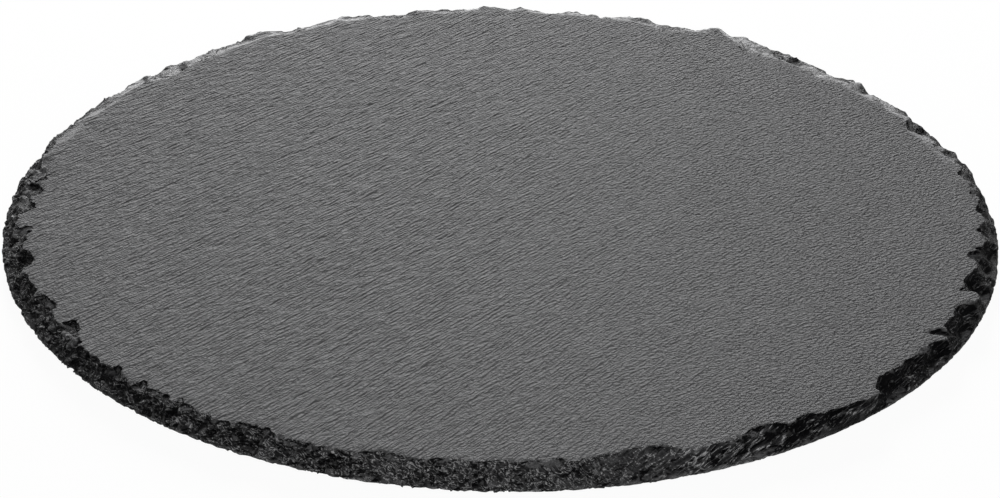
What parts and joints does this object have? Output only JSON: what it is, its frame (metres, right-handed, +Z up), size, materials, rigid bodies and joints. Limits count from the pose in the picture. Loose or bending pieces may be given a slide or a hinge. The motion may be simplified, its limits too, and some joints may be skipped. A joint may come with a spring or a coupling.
{
  "type": "slate serving board",
  "caption": "Round natural slate serving board with a hammer-dressed edge, a cleft top face and small self-adhesive rubber feet.",
  "frame": {"origin": "on the table plane under the middle of the round slab, level with the bottoms of the feet", "axes": "+Z up through the middle of the slab, +X to the right and -Y to the front as the picture shows the board"},
  "size_m": [0.3, 0.3, 0.0092],
  "materials": {
    "slate": "natural cleft face, matt to satin, with a darker, glossier dressed edge",
    "foot_rubber": "matt moulded rubber",
    "adhesive": "translucent acrylic adhesive film"
  },
  "bodies": {
    "root": {"slate_slab": "slate", "front_left_foot_pad": "foot_rubber", "front_right_foot_pad": "foot_rubber", "back_right_foot_pad": "foot_rubber", "back_left_foot_pad": "foot_rubber", "front_left_foot_adhesive": "adhesive", "front_right_foot_adhesive": "adhesive", "back_right_foot_adhesive": "adhesive", "back_left_foot_adhesive": "adhesive"}
  },
  "joints": []
}
